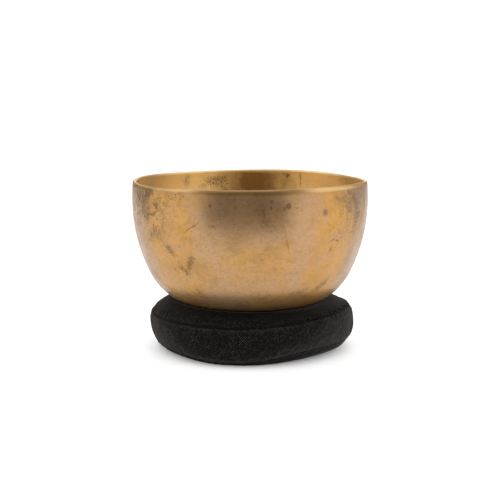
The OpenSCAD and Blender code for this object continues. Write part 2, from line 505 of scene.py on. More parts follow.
def shell(rings, flip, capped=False):
    """Vertices and faces of a section carried round the axis. A capped one stops short of a whole
    turn: it joins its last ring to its first and has a face over each end. Any other goes all the
    way round and ends at the axis with a point at each end."""
    rows, columns = rings.shape[:2]
    points = rings.reshape(-1, 3)
    faces = grid_faces(rows, columns, not capped)
    low = (rows - 1) * columns
    if capped:
        faces += [(low + i, low + i + 1, i + 1, i) for i in range(columns - 1)]
        faces.append(tuple(row * columns for row in range(rows)))
        faces.append(tuple(row * columns + columns - 1 for row in range(rows - 1, -1, -1)))
    else:
        points = np.concatenate([points, [rings[0].mean(0)], [rings[-1].mean(0)]])
        first, last = rows * columns, rows * columns + 1
        for i in range(columns):
            j = (i + 1) % columns
            faces.append((first, j, i))
            faces.append((last, low + i, low + j))
    if flip:
        faces = [face[::-1] for face in faces]
    return points, faces


def make_object(name, vertices, faces, material=None, smooth=True):
    mesh = bpy.data.meshes.new(name)
    mesh.from_pydata([tuple(v) for v in vertices], [], faces)
    mesh.validate()
    mesh.polygons.foreach_set("use_smooth", [smooth] * len(mesh.polygons))
    if material is not None:
        mesh.materials.append(material)
    made = bpy.data.objects.new(name, mesh)
    bpy.context.scene.collection.objects.link(made)
    return made


def read_vertices(mesh, field):
    """Every vertex's place or normal, as rows of three."""
    values = np.empty(len(mesh.vertices) * 3)
    mesh.vertices.foreach_get(field, values)
    return values.reshape(-1, 3)


def move_vertices(mesh, places):
    mesh.vertices.foreach_set("co", places.ravel())
    mesh.update()


def keep(piece, name, kind, field, values):
    """Keeps a value for every vertex, which the piece's material reads."""
    attribute = piece.data.attributes.new(name, kind, "POINT")
    attribute.data.foreach_set(field, values.astype(np.float32).ravel())


# ---- Bowl ----

BOWL_COLUMNS = 360
HAMMER_PITCH = 8.5 * MM
HAMMER_DEPTH = 0.09 * MM
HAMMERED_AREA = 60000 * MM**2
CALM_BELOW_RIM = 9 * MM
OVAL = 0.35 * MM
RIM_WOBBLE = 0.55 * MM


def arc(centre, radius, start, end, step):
    """Points on an arc between two angles in degrees, about step apart, with both ends."""
    start, end = math.radians(start), math.radians(end)
    count = max(2, int(round(abs(end - start) * radius / step)))
    turn = np.linspace(start, end, count + 1)
    return np.c_[centre[0] + radius * np.cos(turn), centre[1] + radius * np.sin(turn)]


def bowl_profile(step=1.15 * MM):
    """The wall's section from the middle of the base, out and up, over the lip, and back in.
    Returns the points and, for each, whether it is on the inner face."""
    shoulder = math.degrees(math.asin((BELLY_H - SHOULDER_R) / SHOULDER_TO_SIDE))
    lip_up = BOWL_H - LIP_T / 2
    mid_r = SIDE_R - WALL_T / 2
    lip_angle = math.degrees(math.asin((lip_up - BELLY_H) / mid_r))
    side_x = BELLY_R - SIDE_R
    lip_x = side_x + mid_r * math.cos(math.radians(lip_angle))

    def wall(inset):
        base_r = np.arange(step, BASE_R, step)
        base = np.c_[base_r, np.full(len(base_r), inset)]
        turn = arc((BASE_R, SHOULDER_R), SHOULDER_R - inset, -90, -shoulder, step)
        side = arc((side_x, BELLY_H), SIDE_R - inset, -shoulder, lip_angle, step)
        return np.concatenate([base, turn, side[1:]])

    outer = wall(0)
    inner = wall(WALL_T)[::-1]
    for face, way in ((outer, 1), (inner, -1)):
        near = np.clip((face[:, 1] - lip_up + LIP_RUN) / LIP_RUN, 0, 1)
        face[:, 0] += way * (LIP_T - WALL_T) / 2 * near**2 * (3 - 2 * near)
    lip = arc((lip_x, lip_up), LIP_T / 2, lip_angle + 8, lip_angle + 172, 0.3 * MM)
    points = np.concatenate([outer[:-1], lip, inner[1:]])
    inner_face = np.concatenate([
        np.zeros(len(outer) - 1),
        np.linspace(0, 1, len(lip)),
        np.ones(len(inner) - 1),
    ])
    return points, inner_face


def hammer_marks(points, pitch, seed):
    """Height of overlapping hammer facets over the smooth surface, about 0 to 1."""
    draw = np.random.default_rng(seed)
    wanted = int(HAMMERED_AREA / pitch**2)
    centres = points[draw.integers(0, len(points), wanted * 2)]
    centres = centres + draw.normal(scale=pitch * 0.05, size=centres.shape)
    nearest = second = np.full(len(points), 9.0)
    for centre in centres:
        gap = ((points - centre) ** 2).sum(1)
        second = np.minimum(second, np.maximum(nearest, gap))
        nearest = np.minimum(nearest, gap)
    near, far = np.sqrt(nearest) / pitch, np.sqrt(second) / pitch
    soft = np.clip((far - near) / 0.25, 0, 1)
    return near**2 * (0.55 + 0.45 * soft)


def make_bowl():
    """The bowl as one closed skin, hammered, slightly out of round and with a wandering lip."""
    profile, inner_face = bowl_profile()
    sections = np.repeat((profile + [0, SEAT_H])[:, None], BOWL_COLUMNS, 1)
    turn = np.arange(BOWL_COLUMNS) * 2 * math.pi / BOWL_COLUMNS - math.pi / 2
    vertices, faces = shell(around(sections, turn), False)
    inner = np.concatenate([np.repeat(inner_face, BOWL_COLUMNS), [0, 1]])
    bowl = make_object("bowl_skin", vertices, faces, aged_bronze())
    keep(bowl, "inner_face", "FLOAT", "value", inner)

    normals = read_vertices(bowl.data, "normal")
    height = vertices[:, 2] - SEAT_H
    fade = np.clip((BOWL_H - height) / CALM_BELOW_RIM, 0, 1)
    dents = np.clip(1 - hammer_marks(vertices, HAMMER_PITCH, 5), 0, 1)
    depth = HAMMER_DEPTH * (0.45 + 0.9 * inner) * fade * dents
    depth += 0.05 * MM * waves(vertices, 22 * MM, 8) * fade
    moved = vertices - normals * depth[:, None]

    up = np.clip(height / BOWL_H, 0, 1)
    out = outward(vertices)
    moved += out * (OVAL * (waves(out, 2.4, 21, 8) - 1) * up**2)[:, None]
    moved[:, 2] += RIM_WOBBLE * (waves(out, 1.5, 33, 10) - 0.6) * up**6
    move_vertices(bowl.data, moved)
    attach(bowl, "bowl_body")
    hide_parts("bowl")


# ---- Cushion: its stuffed form ----

STITCHES = 180
COLUMNS = 240
FINE = 3
CLOTH_T = 0.8 * MM
SEAT_GAP = 0.35 * MM
TOP_ROWS = 34
BAND_ROWS = 13
BOTTOM_ROWS = 32
JOIN_TURN = math.pi / 2
POLE_R = 6 * MM
HELD_R = 49 * MM
SHOULDER_END = BASE_R + 30 * MM
HEEL_BULGE = 0.16
SEAM_PIN = 0.35
SIM_FRAMES = 20
MOST_SWELL = 1.2 * MM


def turns(count):
    """Angles round the cushion, starting from the band's join at the back."""
    return JOIN_TURN + np.arange(count) * 2 * math.pi / count


def bowl_underside(radius):
    """Height of the bowl's outer skin at a radius within its shoulder, on its seat."""
    outside = np.maximum(radius - BASE_R, 0)
    return SEAT_H + SHOULDER_R - np.sqrt(np.maximum(SHOULDER_R**2 - outside**2, 0))


def bowed(start, end, bulge, count):
    """Points from start to end for every column, bowed out to the left of the way by bulge."""
    share = np.linspace(0, 1, count)[:, None, None]
    chord = end - start
    across = np.stack([-chord[:, 1], chord[:, 0]], 1)
    across /= np.linalg.norm(across, axis=1)[:, None]
    lift = 4 * share * (1 - share) * bulge[None, :, None]
    return start[None] + chord[None] * share + across[None] * lift


def even_rows(path, rows):
    """A path for every column, as rows at even distances along it."""
    step = np.linalg.norm(np.diff(path, axis=0), axis=2)
    length = np.concatenate([np.zeros((1, path.shape[1])), np.cumsum(step, 0)])
    result = np.empty((rows, path.shape[1], 2))
    for column in range(path.shape[1]):
        at = np.linspace(0, length[-1, column], rows)
        for axis in range(2):
            result[:, column, axis] = np.interp(at, length[:, column], path[:, column, axis])
    return result


# Each outline wanders round the cushion: its mean in millimetres, then a sine and a cosine for one,
# two and more waves round, counted from the front towards the right
TOP_SEAM_H = (27.9, 2.4, 0.5, 0.35, -0.7, -0.1, -0.5)
TOP_SEAM_R = (70.2, -0.1, -0.3, 0.0, -0.5)
BOTTOM_SEAM_H = (4.7, 2.1, 0.65, 0.8, -0.6, -0.05, -1.2, 0.85, -0.75)
BOTTOM_SEAM_R = (67.2, 1.9, -0.6, -0.4, -1.05, -0.7, 0.1)
FOOT_R = (57.4, -1.05, -2.4, -0.7, -0.55, -0.4, 1.9, -0.8, 1.6)
CREST_R = (53.0, -1.0, -0.6, 0.0, -0.1)


def outline(turn, numbers):
    result = np.full(len(turn), numbers[0])
    from_front = turn + math.pi / 2
    for k in range(1, len(numbers) // 2 + 1):
        result += numbers[2 * k - 1] * np.sin(k * from_front)
        result += numbers[2 * k] * np.cos(k * from_front)
    return result * MM


def stuffed_form():
    """Sections of the three panels for every column, as radius and height."""
    turn = turns(COLUMNS)
    ring = np.c_[np.cos(turn), np.sin(turn), np.zeros(COLUMNS)]
    right = ring[:, 0]
    wobble = [waves(ring, 1.1, seed, 10) for seed in (3, 4, 5, 6)]
    top_seam = np.stack([
        outline(turn, TOP_SEAM_R) + 0.3 * MM * wobble[0],
        outline(turn, TOP_SEAM_H) + 0.3 * MM * wobble[1],
    ], 1)
    bottom_seam = np.stack([
        outline(turn, BOTTOM_SEAM_R) + 0.4 * MM * wobble[2],
        outline(turn, BOTTOM_SEAM_H),
    ], 1)
    foot = np.stack([outline(turn, FOOT_R) + 0.5 * MM * wobble[3], np.zeros(COLUMNS)], 1)
    crest_r = outline(turn, CREST_R)
    crest = np.stack([crest_r, bowl_underside(crest_r) - SEAT_GAP], 1)
    band_bulge = (3.8 + 0.55 * right - 1.1 * right**2) * MM + 0.3 * MM * wobble[1]
    dome_bulge = (1.1 - 0.3 * right) * MM + 0.2 * MM * wobble[2]

    slope = bowed(top_seam, crest, -dome_bulge, 12)
    under_r = np.linspace(crest_r, np.full(COLUMNS, POLE_R), 40)[1:]
    under = np.stack([under_r, bowl_underside(under_r) - SEAT_GAP], 2)
    top = even_rows(np.concatenate([slope, under]), TOP_ROWS)
    for _ in range(2):
        top[1:-1] = 0.5 * top[1:-1] + 0.25 * (top[2:] + top[:-2])
    band = even_rows(bowed(top_seam, bottom_seam, band_bulge, 40), BAND_ROWS)
    heel = bowed(bottom_seam, foot, HEEL_BULGE * bottom_seam[:, 1], 14)
    floor_r = np.linspace(1, 0.1, 30)[1:]
    floor = foot[None] * np.stack([floor_r, 0 * floor_r], 1)[:, None, :]
    bottom = even_rows(np.concatenate([heel, floor]), BOTTOM_ROWS)
    return top, band, bottom


def clear_of_neighbours(points):
    """Points pushed down out of the bowl and up off the table."""
    radius = np.hypot(points[..., 0], points[..., 1])
    ceiling = bowl_underside(radius) - SEAT_GAP
    capped = np.where(radius < SHOULDER_END, np.minimum(points[..., 2], ceiling), points[..., 2])
    return np.concatenate([points[..., :2], np.maximum(capped, 0)[..., None]], -1)


def swell(top, band, bottom):
    """Blows the sewn cover up as cloth, its seams drawn tight, and returns the three grids."""
    rows = np.concatenate([top[::-1], band[1:], bottom[1:]])
    count = len(rows)
    flat = rows.reshape(-1, 3)
    poles = np.array([rows[0].mean(0), rows[-1].mean(0)])
    faces = [face[::-1] for face in grid_faces(count, COLUMNS, True)]
    last = (count - 1) * COLUMNS
    for i in range(COLUMNS):
        j = (i + 1) % COLUMNS
        faces.append((len(flat), i, j))
        faces.append((len(flat) + 1, last + j, last + i))
    cover = make_object("cover_simulation", np.concatenate([flat, poles]), faces)

    # The seat and what lies on the table are held, and the seams are held softly and drawn tight
    row_of = np.repeat(np.arange(count), COLUMNS)
    seam_rows = (TOP_ROWS - 1, TOP_ROWS + BAND_ROWS - 2)
    from_seam = np.minimum(abs(row_of - seam_rows[0]), abs(row_of - seam_rows[1]))
    radius = np.hypot(flat[:, 0], flat[:, 1])
    held = (radius < HELD_R) | (flat[:, 2] < 0.02 * MM)
    pin = cover.vertex_groups.new(name="held")
    pin.add(np.nonzero(held)[0].tolist() + [len(flat), len(flat) + 1], 1.0, "REPLACE")
    pin.add(np.nonzero(~held & (from_seam == 0))[0].tolist(), SEAM_PIN, "REPLACE")
    drawn = cover.vertex_groups.new(name="drawn")
    for distance, weight in ((0, 1.0), (1, 0.5)):
        drawn.add(np.nonzero(from_seam == distance)[0].tolist(), weight, "REPLACE")

    cloth = cover.modifiers.new("cloth", "CLOTH")
    settings = cloth.settings
    settings.quality = 6
    settings.mass = 0.3
    settings.tension_stiffness = 30
    settings.compression_stiffness = 30
    settings.shear_stiffness = 10
    settings.bending_stiffness = 0.15
    settings.air_damping = 2
    settings.use_pressure = True
    settings.uniform_pressure_force = 4
    settings.vertex_group_mass = "held"
    settings.pin_stiffness = 2
    settings.vertex_group_shrink = "drawn"
    settings.shrink_min = 0
    settings.shrink_max = 0.02
    settings.effector_weights.gravity = 0
    cloth.point_cache.frame_start = 1
    cloth.point_cache.frame_end = SIM_FRAMES
    scene = bpy.context.scene
    for moment in range(1, SIM_FRAMES + 1):
        scene.frame_set(moment)
        bpy.context.view_layer.update()
    view = cover.evaluated_get(bpy.context.evaluated_depsgraph_get())
    result = read_vertices(view.data, "co")[: len(flat)]
    mesh = cover.data
    bpy.data.objects.remove(cover)
    bpy.data.meshes.remove(mesh)
    scene.frame_set(1)

    move = result - flat
    size = np.linalg.norm(move, axis=1)[:, None]
    move *= np.minimum(1, MOST_SWELL / np.maximum(size, 1e-9))
    rows = clear_of_neighbours((flat + move).reshape(rows.shape))
    top_end, band_end = TOP_ROWS, TOP_ROWS + BAND_ROWS - 1
    return rows[:top_end][::-1], rows[top_end - 1 : band_end], rows[band_end - 1 :]


# ---- Cushion: sewn cloth ----

# A turned-in edge's rows in from the seam, its whole depth, and where its stitches run
HEM_MM = np.array([0.6, 2.0, 3.4, 5.2, 7.2, 9.0])
HEM_D = HEM_MM[-1] * MM
STITCH_INSET = 3.4 * MM
JOIN_STITCH = 2.4 * MM
LINED_FROM = 3.2 * MM
SEAM_GAP = 0.06 * MM
TOP_GROOVE = 0.35 * MM
BOTTOM_GROOVE = 0.7 * MM

# The rows beside a seam are close together, to carry its groove and stitch dents
NEAR_SEAM = np.array([0, 0.3, 0.6, 0.95, 1.35, 1.8, 2.35, 3.0]) * MM
SEAM_END = 4 * MM
BAND_R = 68 * MM
JOIN_GAP = 0.07 * MM

# Each panel's weave: its name, which is the material slot's name too, the ribs' pitch in millimetres
# and turn in degrees, and the relief, contrast and sheen
TWILLS = {
    "top_panel": ("twill_top", 1.05, 50, 0.1, 0.8, 0.17),
    "side_band": ("twill_band", 1.2, 46, 0.28, 0.85, 0.2),
    "bottom_panel": ("twill_bottom", 1.05, 50, 0.1, 0.35, 0.15),
}

# Places where the upper seam's stitches pull hardest: angle from the front towards the right and
# half width, in degrees, and how much deeper the seam is there
PULLED = ((40, 3.2, 4.5), (-36, 4.0, 4.0), (-14, 2.4, 2.5), (66, 3.0, 1.5))


def smooth_steps(grid, times, closed):
    """Points along the first axis in times as many steps, on a smooth curve through them."""
    if closed:
        before, start, end, after = (np.roll(grid, k, 0) for k in (1, 0, -1, -2))
    else:
        longer = np.concatenate([2 * grid[:1] - grid[1:2], grid, 2 * grid[-1:] - grid[-2:-1]])
        before, start, end, after = longer[:-3], longer[1:-2], longer[2:-1], longer[3:]
    steps = []
    for k in range(times):
        t = k / times
        steps.append(0.5 * (
            2 * start
            + (end - before) * t
            + (2 * before - 5 * start + 4 * end - after) * t**2
            + (3 * start - before - 3 * end + after) * t**3
        ))
    made = np.stack(steps, 1).reshape(-1, *grid.shape[1:])
    return made if closed else np.concatenate([made, grid[-1:]])


def row_lengths(grid):
    """Mean distance of every row from the first."""
    step = np.linalg.norm(np.diff(grid, axis=0), axis=2).mean(1)
    return np.concatenate([[0], np.cumsum(step)])


def at_distances(grid, places):
    """Rows at given distances from the first row."""
    index = np.interp(places, row_lengths(grid), np.arange(len(grid)))
    low = np.minimum(index.astype(int), len(grid) - 2)
    share = (index - low)[:, None, None]
    return grid[low] * (1 - share) + grid[low + 1] * share


def grid_normals(grid, closed):
    """Outward directions of a grid whose rows run down or in from its first row."""
    if closed:
        along = np.roll(grid, -1, 1) - np.roll(grid, 1, 1)
    else:
        along = np.gradient(grid, axis=1)
    down = np.gradient(grid, axis=0)
    normal = np.cross(down, along)
    return normal / np.maximum(np.linalg.norm(normal, axis=2), 1e-12)[..., None]


def pucker_field(columns, seed):
    """Height of the puckers along a seam, one for every column, repeating round the cushion."""
    draw = np.random.default_rng(seed)
    share = np.arange(columns) / columns * 2 * math.pi
    field = np.zeros(columns)
    for waves_round in draw.integers(26, 84, 16):
        field += np.sin(share * waves_round + draw.uniform(0, 2 * math.pi))
    strength = 0.6 + 0.4 * np.sin(share * 3 + draw.uniform(0, 6)) * np.sin(share * 7 + 1)
    return field / 3.2 * strength


def pulled_depth(depth):
    """Depth of the upper seam's groove for every column, deeper where its stitches pull."""
    from_front = (np.degrees(turns(FINE * COLUMNS)) + 90) % 360
    result = np.ones(len(from_front))
    for angle, half_width, deeper in PULLED:
        away = (from_front - angle + 180) % 360 - 180
        result += deeper * hill(away, half_width)
    return depth * result


def stitched(grid, from_seam, pucker, depth):
    """A panel's face drawn into the groove beside one seam, with stitch holes and puckers."""
    hole = 0.5 + 0.5 * np.cos(np.arange(grid.shape[1]) * 2 * math.pi / (FINE * COLUMNS / STITCHES))
    d = from_seam[:, None]
    groove = depth * hill(d, 0.75 * MM) * (1 + 0.45 * hole)
    dent = 0.16 * MM * hill(d, 1.5 * MM) * hole
    puff = 0.13 * MM * hill(d - 1.7 * MM, 1.2 * MM) * (1 - hole)
    crease = 0.15 * MM * pucker * np.exp(-d / (4.5 * MM)) * (1 - np.exp(-d / (0.9 * MM)))
    inward = hill(d, 0.9 * MM)[..., None]
    way = grid_normals(grid, True) * (1 - inward) + outward(grid) * inward
    return grid + way * (puff + crease - groove - dent)[..., None]


def refined(grid):
    """A panel's grid with FINE times the columns, and its rows four times as close."""
    wider = smooth_steps(np.moveaxis(grid, 1, 0), FINE, True)
    return smooth_steps(np.moveaxis(wider, 0, 1), 4, False)


def hem(edge, height, inner_side):
    """Two faces of the cloth turned in from a seam's edge: level rows, the outer one at height
    and the inner one a cloth's thickness above it if inner_side is 1, below it if -1."""
    radial = outward(edge)
    face = np.array([edge - radial * (depth * MM) for depth in HEM_MM])
    face[..., 2] = height
    return face, face + [0, 0, inner_side * CLOTH_T]


def cloth_rows(length, far):
    """Distances from a seam for a panel's rows: close together there, wider apart further on."""
    rest = np.linspace(far, length, max(3, int((length - far) / (3.2 * MM))))
    return np.concatenate([NEAR_SEAM, np.arange(SEAM_END, far, 1 * MM), rest])


def make_cloth(node, rings, flip, capped, places, seam_side):
    """A cloth piece from its section rings, with its cloth coordinates kept for the weave."""
    points, faces = shell(rings, flip, capped)
    piece = make_object(f"{node}_cloth", points, faces, black_twill(*TWILLS[node]))
    extra = len(points) - rings.shape[0] * rings.shape[1]
    flat = np.concatenate([places.reshape(-1, 3), np.zeros((extra, 3))])
    keep(piece, "cloth_place", "FLOAT_VECTOR", "vector", flat)
    keep(piece, "from_seam", "FLOAT", "value", np.append(seam_side, np.full(extra, 50.0)))
    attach(piece, "cushion")
    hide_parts(node)


def disc_panel(node, grid, puckers, up):
    """The top or bottom panel: a round piece of cloth with its edge turned in at the seam.
    Returns its outer face."""
    fine = refined(grid)
    length = row_lengths(fine)[-1]
    places = cloth_rows(length, (20 if up > 0 else 10) * MM)
    depth = pulled_depth(TOP_GROOVE) if up > 0 else BOTTOM_GROOVE
    outer = stitched(at_distances(fine, places), places, puckers, depth)
    seam_height = outer[0, :, 2] + up * SEAM_GAP
    outer[0, :, 2] = seam_height
    outer[..., 2] = np.maximum(outer[..., 2], 0)
    normals = grid_normals(outer, True)
    if (normals[-3, :, 2] * up).mean() < 0:
        normals = -normals
    lined = np.nonzero(places > LINED_FROM)[0][::2]
    inner = (outer - normals * CLOTH_T)[lined]
    if up < 0:
        inner[..., 2] = np.maximum(inner[..., 2], CLOTH_T)
    face, back = hem(outer[0], seam_height, up)
    rings = np.concatenate([outer[::-1], face, back[::-1], inner])

    turn = turns(FINE * COLUMNS)
    middle = np.linalg.norm(fine[-1, :, :2], axis=1).mean()
    out_mm = (length - places + middle) / MM
    hem_mm = out_mm[0] + HEM_MM
    reach = np.concatenate([out_mm[::-1], hem_mm, hem_mm[::-1], out_mm[lined]])
    cloth = reach[:, None, None] * np.stack([np.cos(turn), np.sin(turn), 0 * turn], 1)
    side = np.concatenate([places[::-1] / MM, np.zeros(2 * len(HEM_MM)), places[lined] / MM])
    side = np.repeat(side[:, None], len(turn), 1)
    make_cloth(node, rings, up > 0, False, cloth, side)
    return outer


def band_panel(grid, top_puckers, bottom_puckers):
    """The side band: one strip whose ends meet at the join, with both edges turned in. Returns its
    outer face."""
    columns = FINE * COLUMNS
    fine = refined(grid)
    length = row_lengths(fine)[-1]
    middle = np.linspace(SEAM_END, length - SEAM_END, 16)
    places = np.concatenate([NEAR_SEAM, middle, length - NEAR_SEAM[::-1]])
    outer = at_distances(fine, places)
    outer = stitched(outer, places, top_puckers, pulled_depth(TOP_GROOVE))
    outer = stitched(outer, length - places, bottom_puckers, BOTTOM_GROOVE)
    outer[0, :, 2] -= SEAM_GAP
    outer[-1, :, 2] += SEAM_GAP
    outer = np.concatenate([outer, outer[:, :1]], 1)

    # The join: a gap between the two ends, in a crease that its stitches pull in
    along = (np.arange(columns + 1) / columns) * 2 * math.pi * BAND_R
    from_join = np.minimum(along, along[-1] - along)
    part = np.maximum(JOIN_GAP - from_join, 0) * np.where(along < along[-1] / 2, 1, -1)
    radial = outward(outer)
    sideways = np.cross([0, 0, 1], radial)
    near_edge = np.minimum(places, length - places)
    height = np.clip(near_edge / (2 * MM), 0, 1)[:, None]
    stitch = 0.75 + 0.25 * np.cos(places / JOIN_STITCH * 2 * math.pi)[:, None]
    fold = 0.7 * MM * hill(from_join, 1 * MM) * height * stitch
    outer = outer + sideways * part[:, None] - radial * fold[..., None]

    normals = grid_normals(outer, False)
    if (normals * radial).sum(2).mean() < 0:
        normals = -normals
    lined = np.nonzero(near_edge > LINED_FROM)[0][::2]
    inner = (outer - normals * CLOTH_T)[lined]
    low_face, low_back = hem(outer[-1], outer[-1, :, 2], 1)
    high_face, high_back = hem(outer[0], outer[0, :, 2], -1)
    parts = (outer, low_face, low_back[::-1], inner[::-1], high_back, high_face[::-1])
    rings = np.concatenate(parts)

    up_mm = (length - places) / MM
    top_mm = length / MM
    up_mm = np.concatenate([
        up_mm, -HEM_MM, -HEM_MM[::-1], up_mm[lined][::-1], top_mm + HEM_MM, top_mm + HEM_MM[::-1],
    ])
    cloth = np.zeros(rings.shape)
    cloth[..., 0] = along / MM
    cloth[..., 1] = up_mm[:, None]
    hems = np.zeros(2 * len(HEM_MM))
    side = np.concatenate([near_edge / MM, hems, near_edge[lined] / MM, hems])
    side = np.minimum(side[:, None], from_join / MM + 0.3)
    make_cloth("side_band", rings, True, True, cloth, side)
    return outer


# ---- Cushion: filling and threads ----

COVER_ROOM = CLOTH_T + 0.9 * MM
EDGE_ROOM = 2.3 * MM
HEM_ROOM = 1.6 * MM


def make_filling(top, band, bottom, material):
    """Lumpy wadding that fills the cover and leaves room for the turned-in edges."""
    rows = np.concatenate([top[::-1], band[1:], bottom[1:]])
    normals = grid_normals(rows, True)
    radial = outward(rows)
    if (normals[TOP_ROWS + 6] * radial[TOP_ROWS + 6]).sum(1).mean() < 0:
        normals = -normals
    inside = rows - normals * COVER_ROOM
    top_edge = rows[TOP_ROWS - 1]
    low_edge = rows[TOP_ROWS + BAND_ROWS - 2]

    def within_hem(disc, edge):
        """The rows of a disc that lie inside a seam's hem, and the hem's inner radius."""
        hem_r = np.linalg.norm(edge[:, :2], axis=1) - HEM_D - HEM_ROOM
        radius = np.linalg.norm(disc[..., :2], axis=2)
        return disc[(radius < hem_r).all(1)], hem_r

    def level(radius, edge, height):
        row = radial[TOP_ROWS] * radius[:, None]
        row[:, 2] = edge[:, 2] + height
        return row

    upper, top_r = within_hem(inside[: TOP_ROWS - 1], top_edge)
    lower, low_r = within_hem(inside[TOP_ROWS + BAND_ROWS - 1 :], low_edge)
    middle = inside[TOP_ROWS + 1 : TOP_ROWS + BAND_ROWS - 3]
    band_r = np.linalg.norm(middle[..., :2], axis=2).min(0) - 0.4 * MM
    rings = np.concatenate([
        upper,
        [level(top_r, top_edge, height) for height in (EDGE_ROOM, 0, -EDGE_ROOM)],
        [level(radius, top_edge, -EDGE_ROOM) for radius in ((top_r + band_r) / 2, band_r)],
        middle[1:-1],
        [level(radius, low_edge, EDGE_ROOM) for radius in (band_r, (low_r + band_r) / 2, low_r)],
        [level(low_r, low_edge, 0)],
        lower,
    ])
    rings[..., 2] = np.maximum(rings[..., 2], COVER_ROOM)
    points, faces = shell(rings, True)
    filling = make_object("wadding", points, faces, material)
    lumps = np.minimum(0.35 * MM * (waves(points, 11 * MM, 51) - 1.2), 0)
    move_vertices(filling.data, points + read_vertices(filling.data, "normal") * lumps[:, None])
    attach(filling, "cushion")
    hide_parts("filling")


def tube(path, radius, closed, sides=6):
    """Vertices and faces of a round thread along a path, with closed ends if it has ends."""
    count = len(path)
    ahead = np.roll(path, -1, 0) - np.roll(path, 1, 0) if closed else np.gradient(path, axis=0)
    ahead /= np.linalg.norm(ahead, axis=1)[:, None]
    side = np.cross(ahead, [0, 0, 1])
    level = np.linalg.norm(side, axis=1) < 0.3
    side[level] = np.cross(ahead[level], [1, 0, 0])
    side /= np.linalg.norm(side, axis=1)[:, None]
    up = np.cross(side, ahead)
    turn = np.arange(sides) * 2 * math.pi / sides
    rings = path[:, None] + radius * (
        side[:, None] * np.cos(turn)[:, None] + up[:, None] * np.sin(turn)[:, None]
    )
    faces = []
    for i in range(count if closed else count - 1):
        low, high = i * sides, ((i + 1) % count) * sides
        for k in range(sides):
            m = (k + 1) % sides
            faces.append((low + k, high + k, high + m, low + m))
    if not closed:
        faces.append(tuple(range(sides)))
        faces.append(tuple((count - 1) * sides + k for k in range(sides - 1, -1, -1)))
    return rings.reshape(-1, 3), faces


def join_shells(shells):
    points, faces, first = [], [], 0
    for some, those in shells:
        points.append(some)
        faces += [tuple(first + v for v in face) for face in those]
        first += len(some)
    return np.concatenate(points), faces


THREAD_R = 0.19 * MM
STITCH_POINTS = 6
CLOSING_START = math.radians(112)
CLOSING_END = math.radians(152.8)
CLOSING_STITCHES = 12
CLOSING_THREAD_R = 0.2 * MM


def seam_path(edge, side, start=None, end=None):
    """A lockstitch's run on the turned-in cloth: each stitch arches between two needle holes. With
    a start and an end, the run leaves out what lies between them."""
    count = STITCHES * STITCH_POINTS
    turn = turns(count)
    looped = np.concatenate([edge, edge[:1]])
    looped_turn = np.append(turns(len(edge)), JOIN_TURN + 2 * math.pi)
    radius = np.interp(turn, looped_turn, np.linalg.norm(looped[:, :2], axis=1)) - STITCH_INSET
    height = np.interp(turn, looped_turn, looped[:, 2])
    arch = abs(np.sin(np.arange(count) / STITCH_POINTS * math.pi))
    height += side * (CLOTH_T + THREAD_R + (0.05 + 0.12 * arch) * MM)
    path = around(np.stack([radius, height], 1), turn)
    if start is None:
        return path
    angle = np.mod(turn - end, 2 * math.pi)
    return path[np.argsort(angle)][np.sort(angle) < 2 * math.pi - (end - start)]


def make_thread(name, shells, material, node):
    points, faces = join_shells(shells)
    piece = make_object(name, points, faces, material)
    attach(piece, "cushion")
    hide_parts(node)


def make_threads(top, band, bottom, material):
    gap = (CLOSING_START, CLOSING_END)
    runs = (
        ("top_seam_needle", top[0], 1, ()),
        ("top_seam_bobbin", band[0], -1, ()),
        ("bottom_seam_needle", bottom[0], -1, gap),
        ("bottom_seam_bobbin", band[-1], 1, gap),
    )
    for name, edge, side, left_out in runs:
        run = tube(seam_path(edge, side, *left_out), THREAD_R, not left_out)
        make_thread(f"{name}_run", [run], material, f"{name}_thread")

    end_room = CLOTH_T + 0.6 * MM
    low = band[-1, 0, 2] + end_room
    up = np.linspace(low, band[0, 0, 2] - end_room, 40)
    inset = np.linalg.norm(band[-1, 0, :2]) - STITCH_INSET
    arch = 0.12 * MM * abs(np.sin((up - low) / JOIN_STITCH * math.pi))
    for name, side in (("needle", -1), ("bobbin", 1)):
        across = side * (0.15 * MM + CLOTH_T + THREAD_R + arch)
        run = tube(np.stack([across, np.full(len(up), inset), up], 1), THREAD_R, False)
        make_thread(f"band_join_{name}_run", [run], material, f"band_join_{name}_thread")

    columns = band.shape[1] - 1
    bead = np.linspace(-1, 1, 9)[:, None]
    stitches = []
    for k in range(CLOSING_STITCHES):
        angle = CLOSING_START + (k + 0.5) * (CLOSING_END - CLOSING_START) / CLOSING_STITCHES
        column = int(round(((angle - JOIN_TURN) % (2 * math.pi)) / (2 * math.pi) * columns))
        above, below = band[-5, column], bottom[4, column]
        radial = outward((above + below) / 2)
        path = below * (0.5 - 0.5 * bead) + above * (0.5 + 0.5 * bead)
        path += np.cross([0, 0, 1], radial) * (0.5 * MM * bead)
        path += radial * ((0.42 - 0.5 * bead**4) * MM)
        stitches.append(tube(path, CLOSING_THREAD_R, False))
    make_thread("closing_stitches", stitches, material, "closing_thread")


# ---- Cushion: cloth looks ----

BLACK_YARN = (0.0095, 0.0089, 0.0086, 1)
DEEP_BLACK = (0.0018, 0.0017, 0.0017, 1)
WORN_AND_PAINTED_LIGHT_YARN = (0.06, 0.055, 0.051, 1)
LINT = (0.16, 0.15, 0.14, 1)
WADDING_SHADE = (0.62, 0.59, 0.53, 1)
WADDING_WHITE = (0.85, 0.83, 0.78, 1)


